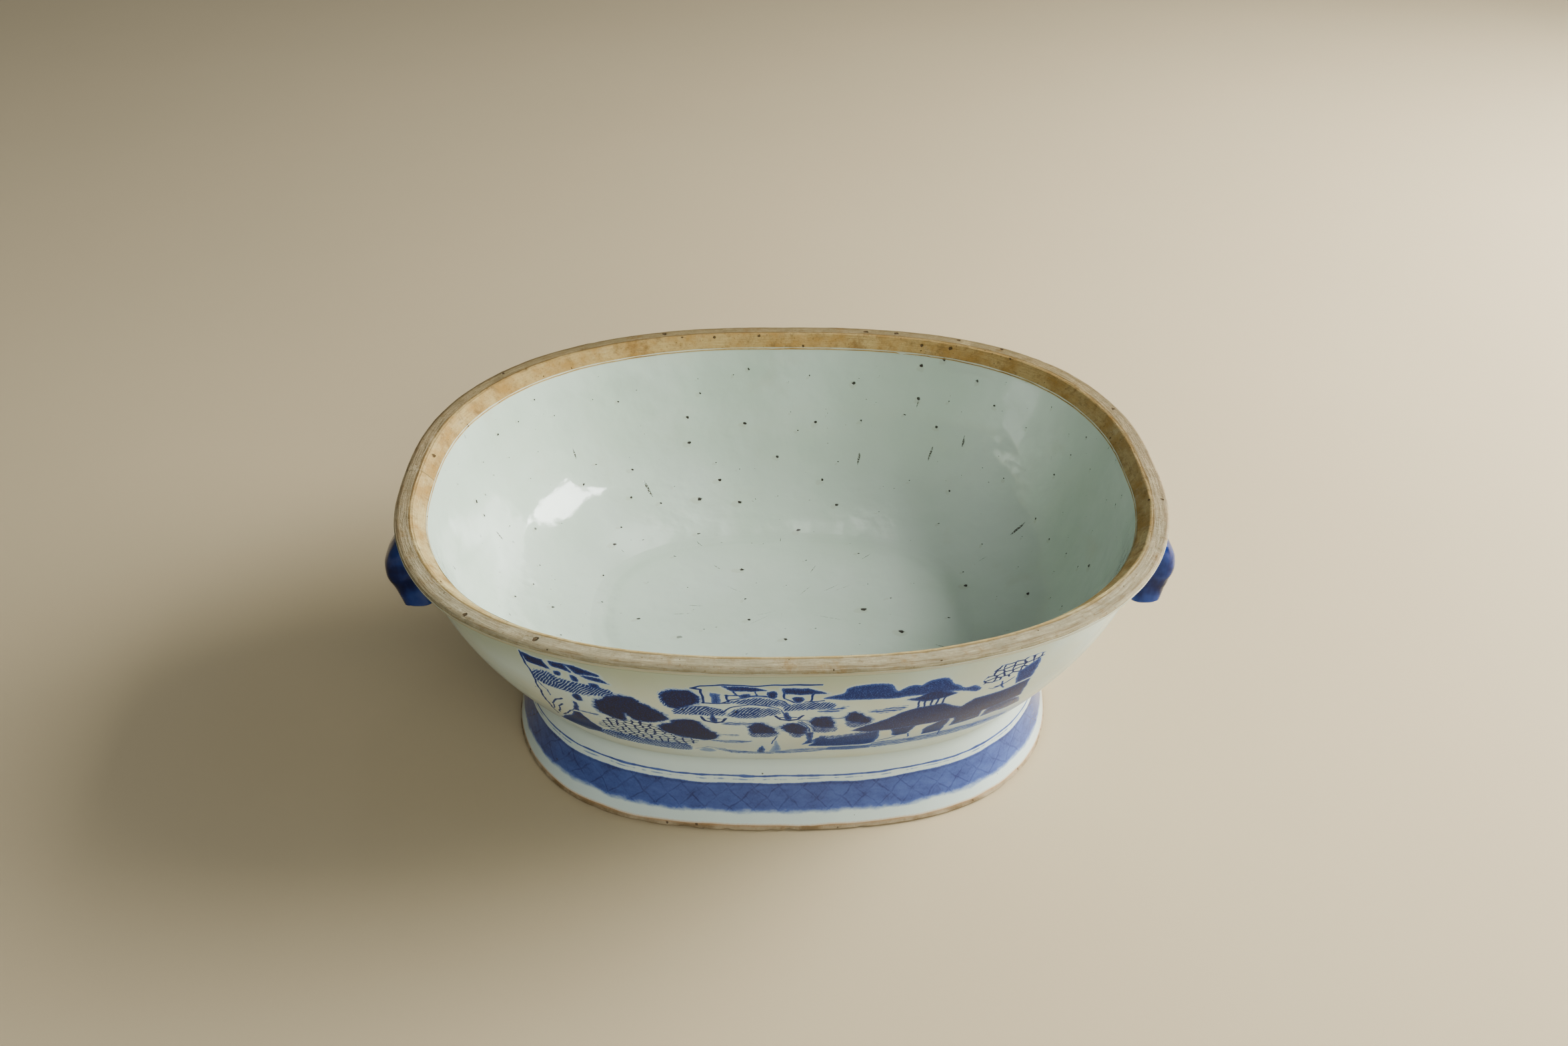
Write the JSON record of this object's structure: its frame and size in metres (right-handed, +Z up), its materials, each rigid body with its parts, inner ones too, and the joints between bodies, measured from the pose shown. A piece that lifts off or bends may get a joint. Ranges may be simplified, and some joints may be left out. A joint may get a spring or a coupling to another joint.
{
  "type": "oval serving bowl",
  "caption": "Oval footed porcelain serving bowl, the base of a tureen, with a bare lid seat round the rim, a spreading foot ring and a blue lug handle at each end.",
  "frame": {"origin": "centre of the footprint, on the surface the bowl stands on", "axes": "+X along the bowl's length towards the right-hand lug, -Y towards the viewer's side panel, +Z up"},
  "size_m": [0.329, 0.235, 0.117],
  "materials": {
    "biscuit": "bare fired porcelain, toasted tan, fine tool lines, pits and ingrained dirt, matt",
    "clear_glaze": "thick pale grey-green glaze, glossy, with iron specks and a few fine scratches",
    "painted_glaze": "pale blue-white glaze over hand-brushed cobalt landscape panels and a hatched border band",
    "cobalt_glaze": "deep cobalt blue under clear glaze, pooled darker in places, glossy"
  },
  "bodies": {
    "root": {"bowl_body": "biscuit", "foot_ring": "biscuit", "handle_left": "cobalt_glaze", "handle_right": "cobalt_glaze", "inside_glaze": "clear_glaze", "outside_glaze": "painted_glaze"}
  },
  "joints": []
}
